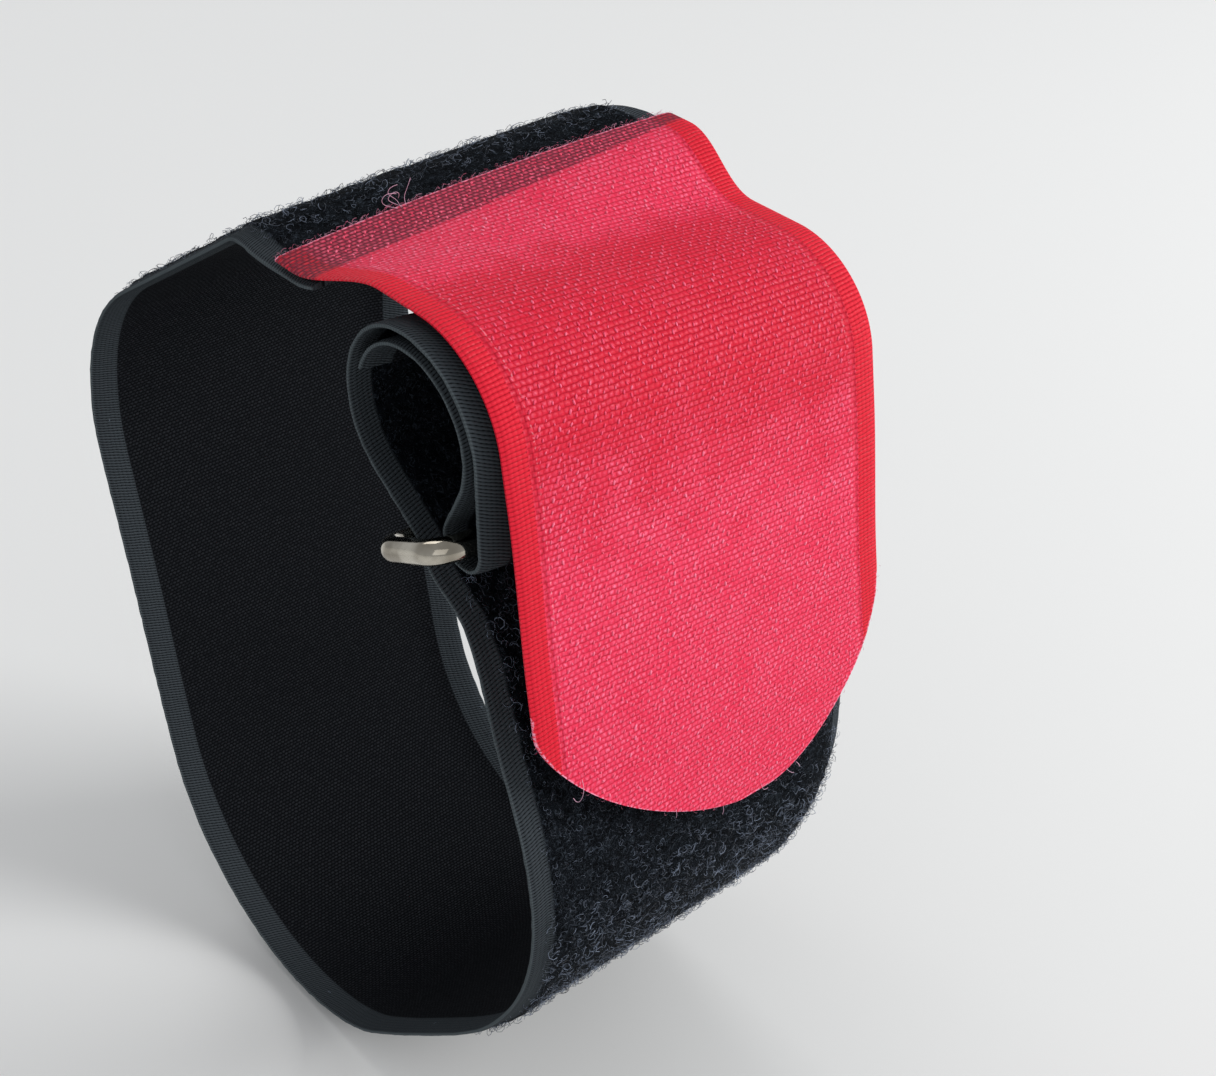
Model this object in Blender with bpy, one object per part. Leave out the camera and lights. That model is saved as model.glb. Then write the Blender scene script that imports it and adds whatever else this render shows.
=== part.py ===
"""Hook and loop cable tie with a ring, closed round a bundle of cables.

The tie is modelled in millimetres and written in metres, +Z up. X runs along the
cables, across the tape. The route of the tape lies in the YZ plane, with the front of
the bundle towards -Y. The origin is on the inner face of the tape, in the middle of the
welded joint, where the tie hangs on the cables.

Each tape is modelled flat, like the woven tape it is, and then laid along its route.
The route is that of a belt: straight between round supports, and wrapped round each.
"""
import math

import bmesh
import bpy
from mathutils import Vector

MM = 0.001

# Tapes
TAPE_WIDTH = 50.0
SELVEDGE = 3.6            # flat woven border on both sides of the pile and of the hooks
LOOP_BASE = 0.7           # woven ground of the loop tape
HOOK_BASE = 0.5           # woven ground of the hook tape
PILE_FREE = 1.5           # height of the loop pile where nothing presses it
PILE_PRESSED = 0.4        # between two layers of the choke
PILE_GRIPPED = 0.8        # under the hooks of the tab
PILE_WELDED = 0.2         # melted down in the joint
PILE_RISE = 7.0           # length over which the pile comes up to another height
HOOKS_FREE = 0.8
HOOKS_WELDED = 0.2
CLEARANCE = 0.3           # between layers that touch

# Ring
WIRE = 2.8
RING_GAP = 7.6            # inside the ring, from bar to bar
RING_SIDE_PLAY = 0.3      # from the edge of the tape to where the ring starts to bend
RING_CORNER = 1.2         # inside radius of the ring's corners
RING_DIP = 26.0           # degrees that the inner bar hangs below the outer one

# Choke: the end that is looped round one cable and pulled through the ring
CHOKED_CABLE = 17.0       # diameter of the cable that the tie is choked on
CHOKE_FORWARD = 23.0      # from the joint to the middle of that cable
CHOKE_DOWN = 10.9
CHOKE_TILT = 7.0          # degrees that the cable slopes down to the right
CHOKE_SHIFT = -2.0        # how far the choke sits to the left of the joint
TAIL_END = 22.0           # degrees above level, at the back of the cable
EYE_DIRECTION = 232.0     # degrees, from the middle of the cable to the eye
EYE_SLACK = 1.0
EYE_PLAY = 0.4            # between the ring's bar and the pile in the eye

# Bundle that the tie is closed round
FRONT_SWELL = 40.0        # radius of the front of the bundle
FRONT_REACH = 40.3        # from the joint forward to the front of the bundle
FRONT_LEVEL = 63.0        # from the joint down to the middle of the front
LOW_CORNER = 30.0
LOW_REACH = 122.0         # from the joint down to the underside of the bundle
LOW_BACK = 17.0
BACK_SHOULDER = 31.0
BACK_REACH = 55.0
BACK_LEVEL = 46.0
TOP_CREST = 12.0
TOP_BACK = 6.0

# Joint and tab
WELD_LAP = 6.5            # length of loop tape under the left edge of the hook tape
END_SLANT = 5.3           # the loop tape is cut slanted: its right edge ends this much earlier
SLANT_RUN = 16.0          # length of loop tape that the slant of its rows is spread over
TAB_LENGTH = 93.0
TAB_DRIFT = -0.6          # how far the end of the tab lies to the left
TIP_LEFT = 21.0           # length of the rounding of the tip, left and right
TIP_RIGHT = 25.0
TIP_LEFT_BLUNT = 1.38     # exponent of the rounding, 2 for an ellipse
TIP_RIGHT_BLUNT = 1.7
TIP_PEAK = 5.0            # the cut tip is lopsided: its end is right of the middle
TIP_END = 2.0             # half width of the last bit of the tip

# Set of the tape over uneven cables, at the edges of the tape
JOINT_LIFT = 2.0          # right edge up at the joint
JOINT_SKEW = 3.2          # right edge forward at the joint
FRONT_SKEW = 1.5          # right edge forward, over the choke and down the front
TILT_RISE = 13.0          # length of tape over which the tilt of the choked cable builds up
TILT_FADE = 31.0          # and over which it is lost again below the choke
FRONT_SKEW_FADE = 18.0    # height above the middle of the front over which its skew is lost
SKEW_FADE = 13.0          # length over which the lift and skew of the joint are lost

# Fineness
ARC_STEP = 9.0            # degrees
LINE_STEP = 1.5
WIRE_SIDES = 4            # bevel resolution of the ring's wire
CORNER_STEPS = 5
TIP_STEPS = 14
FIELD_COLUMNS = 2

HALF = TAPE_WIDTH / 2


class Support:
    """A round thing that the tape bends round: centre, radius of the tape's middle
    line, and the turn, 1 for anticlockwise in a view from the right, towards -X."""

    def __init__(self, y, z, radius, turn):
        self.y = y
        self.z = z
        self.radius = radius
        self.turn = turn

    def signed(self):
        return self.turn * self.radius

    def touch(self, heading):
        """Point of the support where a line with this heading touches it."""
        y = self.y + self.signed() * math.sin(heading)
        z = self.z - self.signed() * math.cos(heading)
        return y, z


def heading_between(first, second):
    """Heading of the straight run from one support to the next."""
    dy = second.y - first.y
    dz = second.z - first.z
    share = (second.signed() - first.signed()) / math.hypot(dy, dz)
    return math.atan2(dz, dy) - math.asin(share)


class Route:
    """Belt route over a list of supports, measured by its length s."""

    def __init__(self, supports, start_heading=None, end_heading=None):
        runs = [heading_between(a, b) for a, b in zip(supports, supports[1:])]
        first = runs[0] if start_heading is None else start_heading
        last = runs[-1] if end_heading is None else end_heading
        headings = [first] + runs + [last]
        self.legs = []
        self.arc_start = []
        s = 0.0
        for index, support in enumerate(supports):
            arrive = headings[index]
            leave = headings[index + 1]
            angle = 0.0
            if support.radius > 0:
                angle = (leave - arrive) * support.turn
                angle = (angle + math.pi) % (2 * math.pi) - math.pi
                if angle < -0.5:
                    angle += 2 * math.pi
            self.arc_start.append(s)
            if abs(angle) > 1e-9:
                self.legs.append(("arc", s, support, arrive, angle))
                s += abs(angle) * support.radius
            if index < len(runs):
                start = support.touch(leave)
                end = supports[index + 1].touch(leave)
                self.legs.append(("line", s, start, leave, math.dist(start, end)))
                s += math.dist(start, end)
        self.length = s

    def at(self, s):
        """Place and heading at a length along the route."""
        leg = self.legs[0]
        for candidate in self.legs:
            if candidate[1] <= s + 1e-9:
                leg = candidate
        kind, begin, place, heading, size = leg
        if kind == "arc":
            turned = heading + place.turn * math.copysign(1, size) * (s - begin) / place.radius
            y, z = place.touch(turned)
            return y, z, turned
        y = place[0] + (s - begin) * math.cos(heading)
        z = place[1] + (s - begin) * math.sin(heading)
        return y, z, heading

    def stations(self, begin, end):
        """Lengths at which the tape gets a row of vertices."""
        marks = {begin, end}
        for kind, start, place, heading, size in self.legs:
            length = abs(size) * place.radius if kind == "arc" else size
            if kind == "arc":
                count = math.ceil(math.degrees(abs(size)) / ARC_STEP)
            else:
                count = math.ceil(length / LINE_STEP)
            for step in range(count + 1):
                marks.add(start + length * step / max(count, 1))
        inside = sorted(m for m in marks if begin <= m <= end)
        kept = [inside[0]]
        for mark in inside[1:]:
            if mark - kept[-1] > 0.05:
                kept.append(mark)
        kept[-1] = end
        return kept


def ramp(value, low, high):
    """Smooth step from 0 at low to 1 at high."""
    t = min(max((value - low) / (high - low), 0.0), 1.0)
    return t * t * (3 - 2 * t)


def settle(x, y, z):
    """Where a point of the tape ends up on the uneven cables."""
    choke_bottom = -CHOKE_DOWN - CHOKED_CABLE
    over_choke = ramp(-y, WELD_LAP / 2, WELD_LAP / 2 + TILT_RISE) * ramp(z, choke_bottom - TILT_FADE, choke_bottom)
    near_joint = ramp(-abs(y), -WELD_LAP / 2 - SKEW_FADE, -WELD_LAP / 2) * ramp(z, -SKEW_FADE, 0.0)
    on_front = ramp(-y, 0.0, CHOKE_FORWARD) * ramp(z, -FRONT_LEVEL, FRONT_SKEW_FADE - FRONT_LEVEL)
    z -= (x - CHOKE_SHIFT) * math.tan(math.radians(CHOKE_TILT)) * over_choke
    z += x / HALF * JOINT_LIFT * near_joint
    y -= x / HALF * JOINT_SKEW * near_joint
    y -= (1 + x / HALF) / 2 * FRONT_SKEW * on_front
    return Vector((x, y, z)) * MM


# Radii of the middle line of each layer round the choked cable, from the inside out
TAIL_RADIUS = CHOKED_CABLE / 2 + LOOP_BASE / 2
WRAP_RADIUS = TAIL_RADIUS + LOOP_BASE + 2 * PILE_PRESSED + CLEARANCE
TAB_RADIUS = WRAP_RADIUS + LOOP_BASE / 2 + CLEARANCE + HOOKS_FREE + HOOK_BASE / 2
EYE_RADIUS = WIRE / 2 + EYE_PLAY + PILE_PRESSED + LOOP_BASE / 2 + CLEARANCE
BAR_RADIUS = WIRE / 2 + CLEARANCE + LOOP_BASE / 2
GRIP_OFFSET = LOOP_BASE / 2 + PILE_GRIPPED + CLEARANCE + HOOKS_FREE + HOOK_BASE / 2
WELD_OFFSET = LOOP_BASE / 2 + PILE_WELDED + CLEARANCE + HOOKS_WELDED + HOOK_BASE / 2
RING_PITCH = RING_GAP + WIRE

CHOKE = (-CHOKE_FORWARD, -CHOKE_DOWN)
EYE_REACH = TAIL_RADIUS + EYE_RADIUS + EYE_SLACK
EYE = (CHOKE[0] + EYE_REACH * math.cos(math.radians(EYE_DIRECTION)),
       CHOKE[1] + EYE_REACH * math.sin(math.radians(EYE_DIRECTION)))
INNER_BAR = (EYE[0] + RING_PITCH * math.cos(math.radians(RING_DIP)),
             EYE[1] - RING_PITCH * math.sin(math.radians(RING_DIP)))
FRONT = (FRONT_SWELL - FRONT_REACH, -FRONT_LEVEL)


def strap_route():
    """Loop tape, from its tail on the choked cable to its end under the joint."""
    top = LOOP_BASE / 2
    supports = [
        Support(*CHOKE, TAIL_RADIUS, 1),
        Support(*EYE, EYE_RADIUS, -1),
        Support(*CHOKE, WRAP_RADIUS, -1),
        Support(*INNER_BAR, BAR_RADIUS, 1),
        Support(*FRONT, FRONT_SWELL, 1),
        Support(LOW_BACK, LOW_CORNER - LOW_REACH, LOW_CORNER, 1),
        Support(BACK_REACH - BACK_SHOULDER, -BACK_LEVEL, BACK_SHOULDER, 1),
        Support(TOP_BACK, top - TOP_CREST, TOP_CREST, 1),
        Support(-WELD_LAP, top, 0.0, 1),
    ]
    return Route(supports, start_heading=math.radians(90 + TAIL_END))


def tab_route():
    """Hook tape, from its cut edge at the joint down the front."""
    supports = [
        Support(0.0, LOOP_BASE / 2 + WELD_OFFSET, 0.0, 1),
        Support(*CHOKE, TAB_RADIUS, 1),
        Support(*FRONT, FRONT_SWELL + GRIP_OFFSET, 1),
    ]
    return Route(supports, end_heading=math.radians(-30))


def flat_tape(rows):
    """Flat woven tape with a raised field between its selvedges. X is the column, Y the row
    and Z the layer: 0 back, 1 face, 2 top of the field."""
    tape = bmesh.new()
    columns = FIELD_COLUMNS + 2
    bmesh.ops.create_grid(tape, x_segments=columns, y_segments=rows - 1, size=1.0)
    for vert in tape.verts:
        vert.co.x = round((vert.co.x + 1) * columns / 2)
        vert.co.y = round((vert.co.y + 1) * (rows - 1) / 2)
    raised = bmesh.ops.extrude_face_region(tape, geom=tape.faces[:])["geom"]
    for vert in (item for item in raised if isinstance(item, bmesh.types.BMVert)):
        vert.co.z = 1.0
    field = [face for face in tape.faces
             if all(v.co.z == 1.0 for v in face.verts)
             and 1.0 < face.calc_center_median().x < columns - 1.0]
    raised = bmesh.ops.extrude_face_region(tape, geom=field)["geom"]
    for vert in (item for item in raised if isinstance(item, bmesh.types.BMVert)):
        vert.co.z = 2.0
    bmesh.ops.delete(tape, geom=field, context="FACES_ONLY")
    bmesh.ops.recalc_face_normals(tape, faces=tape.faces)
    return tape


def lay_tape(name, route, marks, face_side, base, field_height, edges, slant, shift, collection):
    """Lay a flat tape along its route. face_side is 1 where the face with the field is on
    the left of the route and -1 where it is on the right."""
    tape = flat_tape(len(marks))
    for vert in tape.verts:
        s = marks[round(vert.co.y)]
        left, right = edges(s)
        inner_left = min(left + SELVEDGE, (left + right) / 2 - TIP_END / 2)
        inner_right = max(right - SELVEDGE, (left + right) / 2 + TIP_END / 2)
        inner = [inner_left + (inner_right - inner_left) * column / FIELD_COLUMNS
                 for column in range(FIELD_COLUMNS + 1)]
        x = [left, *inner, right][round(vert.co.x)]
        s -= (1 + x / HALF) / 2 * slant(s)
        x += shift(s)
        y, z, heading = route.at(s)
        height = (-base / 2, base / 2, base / 2 + field_height(s))[round(vert.co.z)]
        y -= face_side * height * math.sin(heading)
        z += face_side * height * math.cos(heading)
        vert.co = settle(x, y, z)
    bmesh.ops.recalc_face_normals(tape, faces=tape.faces)
    mesh = bpy.data.meshes.new(name)
    tape.to_mesh(mesh)
    tape.free()
    tie_part = bpy.data.objects.new(name, mesh)
    collection.objects.link(tie_part)
    return tie_part


def make_loop_strap(collection):
    route = strap_route()
    to_bar = route.arc_start[3]
    on_front = route.arc_start[4]
    under_tip = tip_mark(route)
    crest = route.arc_start[7]
    weld_edge = route.length - WELD_LAP - CLEARANCE

    def pile(s):
        free = ramp(s, to_bar - CLEARANCE, to_bar + PILE_RISE)
        gripped = ramp(s, on_front, on_front + PILE_RISE) * ramp(-s, -under_tip - PILE_RISE, -under_tip)
        welded = ramp(s, weld_edge - PILE_RISE, weld_edge)
        height = PILE_PRESSED + (PILE_FREE - PILE_PRESSED) * free
        height -= (PILE_FREE - PILE_GRIPPED) * gripped
        return height - (PILE_FREE - PILE_WELDED) * welded

    def slant(s):
        return END_SLANT * ramp(s, route.length - SLANT_RUN, route.length)

    def shift(s):
        return CHOKE_SHIFT * (1 - ramp(s, on_front, crest))

    marks = route.stations(0.0, route.length)
    return lay_tape("loop_strap", route, marks, -1, LOOP_BASE, pile,
                    lambda s: (-HALF, HALF), slant, shift, collection)


def tip_mark(strap):
    """Length of the strap's route that lies just beyond the end of the tab."""
    tab = tab_route()
    y, z, heading = tab.at(TAB_LENGTH)
    arc = (heading - strap.at(strap.arc_start[4])[2]) % (2 * math.pi)
    return strap.arc_start[4] + arc * FRONT_SWELL + CLEARANCE


def tip_edges(s):
    """Left and right edge of the tab at a length from its cut edge."""
    def half_width(full, run, blunt):
        inside = min(max((s - TAB_LENGTH + run) / run, 0.0), 1.0)
        return TIP_END + (full - TIP_END) * (1 - inside ** blunt) ** (1 / blunt)
    left = TIP_PEAK - half_width(HALF + TIP_PEAK, TIP_LEFT, TIP_LEFT_BLUNT)
    right = TIP_PEAK + half_width(HALF - TIP_PEAK, TIP_RIGHT, TIP_RIGHT_BLUNT)
    return left, right


def make_hook_tab(collection):
    route = tab_route()
    tip_run = max(TIP_LEFT, TIP_RIGHT)
    marks = route.stations(0.0, TAB_LENGTH - tip_run)
    for step in range(TIP_STEPS):
        part_way = math.sin(math.radians(90 * (step + 1) / TIP_STEPS))
        marks.append(TAB_LENGTH - tip_run * (1 - part_way))

    def hooks(s):
        return HOOKS_WELDED + (HOOKS_FREE - HOOKS_WELDED) * ramp(s, WELD_LAP, WELD_LAP + PILE_RISE)

    def drift(s):
        return TAB_DRIFT * ramp(s, TAB_LENGTH / 2, TAB_LENGTH - tip_run)

    return lay_tape("hook_tab", route, marks, 1, HOOK_BASE, hooks, tip_edges,
                    lambda s: 0.0, drift, collection)


def make_ring(collection):
    """Wire ring, with its origin on the bar that the eye of the strap turns on."""
    bend = RING_CORNER + WIRE / 2
    reach = HALF + RING_SIDE_PLAY + bend
    corners = [(reach - bend, bend, -90), (reach - bend, RING_PITCH - bend, 0),
               (bend - reach, RING_PITCH - bend, 90), (bend - reach, bend, 180)]
    points = []
    for x, y, start in corners:
        for step in range(CORNER_STEPS + 1):
            angle = math.radians(start + 90 * step / CORNER_STEPS)
            points.append((x + bend * math.cos(angle), y + bend * math.sin(angle)))
    curve = bpy.data.curves.new("ring", "CURVE")
    curve.dimensions = "3D"
    curve.bevel_depth = WIRE / 2 * MM
    curve.bevel_resolution = WIRE_SIDES
    wire = curve.splines.new("POLY")
    wire.points.add(len(points) - 1)
    wire.use_cyclic_u = True
    for point, (x, y) in zip(wire.points, points):
        point.co = (x * MM, y * MM, 0.0, 1.0)
    ring = bpy.data.objects.new("ring", curve)
    ring.location = settle(CHOKE_SHIFT, *EYE)
    turn = math.atan(FRONT_SKEW / TAPE_WIDTH)
    ring.rotation_euler = (math.radians(-RING_DIP), math.radians(CHOKE_TILT), -turn)
    collection.objects.link(ring)
    return ring


def give_material(part, name, colour, roughness, metallic):
    material = bpy.data.materials.new(name)
    material.use_nodes = True
    shader = material.node_tree.nodes["Principled BSDF"]
    shader.inputs["Base Color"].default_value = (*colour, 1.0)
    shader.inputs["Roughness"].default_value = roughness
    shader.inputs["Metallic"].default_value = metallic
    part.data.materials.append(material)


def main():
    for old in list(bpy.data.objects):
        bpy.data.objects.remove(old, do_unlink=True)
    parts = bpy.data.collections.new("hook_and_loop_cable_tie")
    bpy.context.scene.collection.children.link(parts)
    strap = make_loop_strap(parts)
    give_material(strap, "black_loop_tape", (0.012, 0.012, 0.014), 0.9, 0.0)
    tab = make_hook_tab(parts)
    give_material(tab, "red_hook_tape", (0.72, 0.02, 0.05), 0.6, 0.0)
    ring = make_ring(parts)
    give_material(ring, "nickel_plated_steel", (0.75, 0.72, 0.66), 0.2, 1.0)


main()
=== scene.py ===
import math

import bpy
import numpy as np
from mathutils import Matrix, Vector


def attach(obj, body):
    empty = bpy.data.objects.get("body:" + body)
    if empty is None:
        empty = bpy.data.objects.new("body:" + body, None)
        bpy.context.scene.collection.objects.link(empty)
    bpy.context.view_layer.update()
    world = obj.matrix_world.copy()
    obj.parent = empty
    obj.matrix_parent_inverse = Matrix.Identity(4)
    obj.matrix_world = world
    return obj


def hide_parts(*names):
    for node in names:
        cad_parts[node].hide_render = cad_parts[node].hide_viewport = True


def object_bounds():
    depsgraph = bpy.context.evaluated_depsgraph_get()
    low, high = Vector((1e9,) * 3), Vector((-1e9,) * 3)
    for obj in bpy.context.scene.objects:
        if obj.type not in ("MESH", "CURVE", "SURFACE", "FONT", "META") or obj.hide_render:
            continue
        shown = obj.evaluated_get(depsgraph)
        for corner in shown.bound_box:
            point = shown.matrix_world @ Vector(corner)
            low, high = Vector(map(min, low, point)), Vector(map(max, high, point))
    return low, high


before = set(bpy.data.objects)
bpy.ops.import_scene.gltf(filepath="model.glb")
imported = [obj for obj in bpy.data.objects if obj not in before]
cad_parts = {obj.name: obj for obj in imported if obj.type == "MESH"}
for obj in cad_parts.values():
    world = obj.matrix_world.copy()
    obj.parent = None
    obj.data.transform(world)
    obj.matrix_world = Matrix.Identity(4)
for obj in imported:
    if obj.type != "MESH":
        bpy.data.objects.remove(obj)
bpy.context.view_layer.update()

mm = 0.001
scene = bpy.context.scene
scene.view_settings.view_transform = "Standard"

# Camera at the photo's angle
camera = {"place": (-0.1200, -0.1624, 0.0986), "lookDown": 35.72, "turn": -40.42,
          "focalPixels": 2000.0, "imagePixels": 1216.0}
bpy.ops.object.camera_add(location=camera["place"],
                          rotation=(math.radians(90 - camera["lookDown"]), 0, math.radians(camera["turn"])))
scene.camera = bpy.context.object
scene.camera.data.sensor_width = 36.0
scene.camera.data.lens = 36.0 * camera["focalPixels"] / camera["imagePixels"]
scene.camera.data.clip_start = 0.01
print("camera placed")

# Tape sizes in millimetres
tape = {"width": 50.0, "selvedge": 3.6, "loopBase": 0.7, "hookBase": 0.5, "clearance": 0.3,
        "pileFree": 1.5, "pilePressed": 0.4, "pileGripped": 0.8, "pileWelded": 0.2, "pileRun": 7.0,
        "hooksFree": 0.8, "hooksWelded": 0.2}
half = tape["width"] / 2
halfLoop = tape["loopBase"] / 2
halfHook = tape["hookBase"] / 2
fieldEdge = half - tape["selvedge"]

# The choke at the end of the strap, and the ring that it is pulled through
choke = {"bore": 17.0, "forward": 23.0, "down": 10.9, "tilt": 7.0, "shift": -2.0,
         "tailEnd": 22.0, "eyeDirection": 232.0, "eyeSlack": 1.0, "eyePlay": 0.4}
wire = {"thick": 2.8, "gap": 7.6, "sidePlay": 0.3, "corner": 1.2, "dip": 26.0, "cornerSteps": 12, "roundness": 10}

# Round supports of the closed loop: front, underside, back and top
girth = {"swell": 40.0, "reach": 40.3, "level": 63.0, "lowCorner": 30.0, "lowReach": 122.0,
         "lowBack": 17.0, "backShoulder": 31.0, "backReach": 55.0, "backLevel": 46.0,
         "crest": 12.0, "crestBack": 6.0}

# The joint, and the tab with its lopsided tip
tab = {"weldLap": 6.5, "endSlant": 5.3, "slantRun": 16.0, "length": 93.0, "drift": -0.6,
       "tipLeft": 21.0, "tipRight": 25.0, "leftBlunt": 1.38, "rightBlunt": 1.7,
       "peak": 5.0, "tipEnd": 2.0, "lastHeading": -30.0}

# How the tapes lie: the choke slopes, the joint is lifted, turned and arched, the front ripples
lie = {"jointLift": 2.0, "jointSkew": 3.2, "jointArch": 1.0, "archMiddle": 3.0, "archReach": 28.0,
       "frontSkew": 1.5, "tiltRise": 13.0, "tiltFade": 31.0, "frontSkewFade": 18.0, "skewFade": 13.0,
       "ripple": 0.12, "rippleLong": 6.0, "rippleWide": 9.0, "rippleFrom": (32.0, 45.0)}

# Where the strap strays: shifted below the ring, its right edge turned back, its left edge sagging
stray = {"shift": 1.3, "shiftIn": (4.0, 11.0), "shiftOut": (12.0, 26.0),
         "curl": 2.4, "curlAcross": (16.5, 26.0), "curlPower": 1.5, "curlIn": (-34.0, -18.0), "curlOut": (-60.0, 0.0),
         "sag": 0.9, "sagAcross": (-10.0, 25.0), "sagIn": (44.0, 64.0), "sagOut": (78.0, 110.0)}


def ramp(value, low, high):
    t = np.clip((value - low) / (high - low), 0, 1)
    return t * t * (3 - 2 * t)


def between(s, start, rise, end, fall):
    # rises over one stretch after the start and falls over another after the end
    return ramp(s, start + rise[0], start + rise[1]) * ramp(-s, -end - fall[1], -end - fall[0])


def settle(x, y, z):
    # slope, lift and turn of the tapes as they lie, then to metres
    bottom = -choke["down"] - choke["bore"]
    lap = tab["weldLap"] / 2
    overChoke = ramp(-y, lap, lap + lie["tiltRise"]) * ramp(z, bottom - lie["tiltFade"], bottom)
    nearJoint = ramp(-abs(y), -lap - lie["skewFade"], -lap) * ramp(z, -lie["skewFade"], 0.0)
    onFront = ramp(-y, 0.0, choke["forward"]) * ramp(z, -girth["level"], lie["frontSkewFade"] - girth["level"])
    arch = lie["jointArch"] * (1 - ((x - lie["archMiddle"]) / lie["archReach"]) ** 2) * nearJoint
    sag = lie["ripple"] * np.sin(z / lie["rippleLong"] + x / lie["rippleWide"]) * ramp(-z, *lie["rippleFrom"])
    zNew = z - (x - choke["shift"]) * math.tan(math.radians(choke["tilt"])) * overChoke
    zNew = zNew + x / half * lie["jointLift"] * nearJoint + arch
    yNew = y - x / half * lie["jointSkew"] * nearJoint - (1 + x / half) / 2 * lie["frontSkew"] * onFront
    return np.stack([x, yNew + sag, zNew], -1) * mm


arcStep = 0.2


def beltRoute(supports, startHeading=None, endHeading=None):
    # straight runs between round supports (y, z, radius, turn), wrapped round each
    runs = []
    for (y1, z1, r1, t1), (y2, z2, r2, t2) in zip(supports, supports[1:]):
        share = (t2 * r2 - t1 * r1) / math.hypot(y2 - y1, z2 - z1)
        runs.append(math.atan2(z2 - z1, y2 - y1) - math.asin(share))
    first = runs[0] if startHeading is None else startHeading
    last = runs[-1] if endHeading is None else endHeading
    headings = [first, *runs, last]
    points, arcStart = [], []
    for (y, z, radius, turn), arrive, leave in zip(supports, headings, headings[1:]):
        angle = ((leave - arrive) * turn + math.pi) % (2 * math.pi) - math.pi if radius else 0.0
        # a turn that comes out backward goes the long way round
        angle += 2 * math.pi if angle < -0.5 else 0.0
        arcStart.append(len(points))
        steps = max(1, math.ceil(abs(angle) * radius / arcStep))
        for step in range(steps + 1):
            heading = arrive + turn * angle * step / steps
            bulge = turn * radius
            points.append((y + bulge * math.sin(heading), z - bulge * math.cos(heading), heading))
    y, z, heading = np.array(points).T
    s = np.concatenate([[0], np.cumsum(np.hypot(np.diff(y), np.diff(z)))])
    return {"s": s, "y": y, "z": z, "heading": np.unwrap(heading), "arc": [s[i] for i in arcStart],
            "length": s[-1]}


def layTape(route, side, x, s, height):
    # flat tape coordinates to the row frame: side is 1 where the face is left of the route
    y, z, heading = (np.interp(s, route["s"], route[key]) for key in ("y", "z", "heading"))
    return settle(x, y - side * height * np.sin(heading), z + side * height * np.cos(heading))


tailRadius = (choke["bore"] + tape["loopBase"]) / 2
wrapRadius = tailRadius + tape["loopBase"] + 2 * tape["pilePressed"] + tape["clearance"]
underTab = tape["clearance"] + tape["hooksFree"] + halfHook
tabRadius = wrapRadius + halfLoop + underTab
eyeRadius = wire["thick"] / 2 + choke["eyePlay"] + tape["pilePressed"] + halfLoop + tape["clearance"]
barRadius = wire["thick"] / 2 + tape["clearance"] + halfLoop
gripOffset = halfLoop + tape["pileGripped"] + underTab
weldOffset = halfLoop + tape["pileWelded"] + tape["clearance"] + tape["hooksWelded"] + halfHook
core = (-choke["forward"], -choke["down"])
eyeAngle = math.radians(choke["eyeDirection"])
eyeReach = tailRadius + eyeRadius + choke["eyeSlack"]
eye = (core[0] + eyeReach * math.cos(eyeAngle), core[1] + eyeReach * math.sin(eyeAngle))
barPitch = wire["gap"] + wire["thick"]
dip = math.radians(wire["dip"])
innerBar = (eye[0] + barPitch * math.cos(dip), eye[1] - barPitch * math.sin(dip))
front = (girth["swell"] - girth["reach"], -girth["level"])

strapRoute = beltRoute([
    (*core, tailRadius, 1), (*eye, eyeRadius, -1), (*core, wrapRadius, -1), (*innerBar, barRadius, 1),
    (*front, girth["swell"], 1),
    (girth["lowBack"], girth["lowCorner"] - girth["lowReach"], girth["lowCorner"], 1),
    (girth["backReach"] - girth["backShoulder"], -girth["backLevel"], girth["backShoulder"], 1),
    (girth["crestBack"], halfLoop - girth["crest"], girth["crest"], 1), (-tab["weldLap"], halfLoop, 0.0, 1),
], startHeading=math.radians(90 + choke["tailEnd"]))
tabRoute = beltRoute([(0.0, halfLoop + weldOffset, 0.0, 1), (*core, tabRadius, 1),
                      (*front, girth["swell"] + gripOffset, 1)], endHeading=math.radians(tab["lastHeading"]))
toBar, onFront, crestAt = (strapRoute["arc"][i] for i in (3, 4, 7))
strapLength = strapRoute["length"]
weldEdge = strapLength - tab["weldLap"] - tape["clearance"]
tipHeading = np.interp(tab["length"], tabRoute["s"], tabRoute["heading"])
frontHeading = np.interp(onFront, strapRoute["s"], strapRoute["heading"])
underTip = onFront + (tipHeading - frontHeading) % (2 * math.pi) * girth["swell"] + tape["clearance"]
print("routes laid out, strap %.1f mm" % strapLength)


def pileHeight(s):
    run = tape["pileRun"]
    free = ramp(s, toBar - tape["clearance"], toBar + run)
    gripped = between(s, onFront, (0, run), underTip, (0, run))
    height = tape["pilePressed"] + (tape["pileFree"] - tape["pilePressed"]) * free
    height = height - (tape["pileFree"] - tape["pileGripped"]) * gripped
    return height - (tape["pileFree"] - tape["pileWelded"]) * ramp(s, weldEdge - run, weldEdge)


def strapShift(s):
    belowRing = stray["shift"] * between(s, toBar, stray["shiftIn"], toBar, stray["shiftOut"])
    return choke["shift"] * (1 - ramp(s, onFront, crestAt)) + belowRing


def edgeCurl(x, s):
    # the right edge of the strap turns back where nothing holds it
    lift = stray["curl"] * ramp(x, *stray["curlAcross"]) ** stray["curlPower"]
    return lift * between(s, underTip, stray["curlIn"], crestAt, stray["curlOut"])


def underSag(x, s):
    # the left edge sags a little along the underside
    drop = stray["sag"] * ramp(-x, *stray["sagAcross"])
    return drop * between(s, onFront, stray["sagIn"], onFront, stray["sagOut"])


def weaveSlope(x, s):
    # the rows of the hook tape lie askew down the front
    return redLook["slope"] * x * ramp(s, *redLook["slopeRun"])


def strapSlant(x, s):
    return (1 + x / half) / 2 * tab["endSlant"] * ramp(s, strapLength - tab["slantRun"], strapLength)


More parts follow.
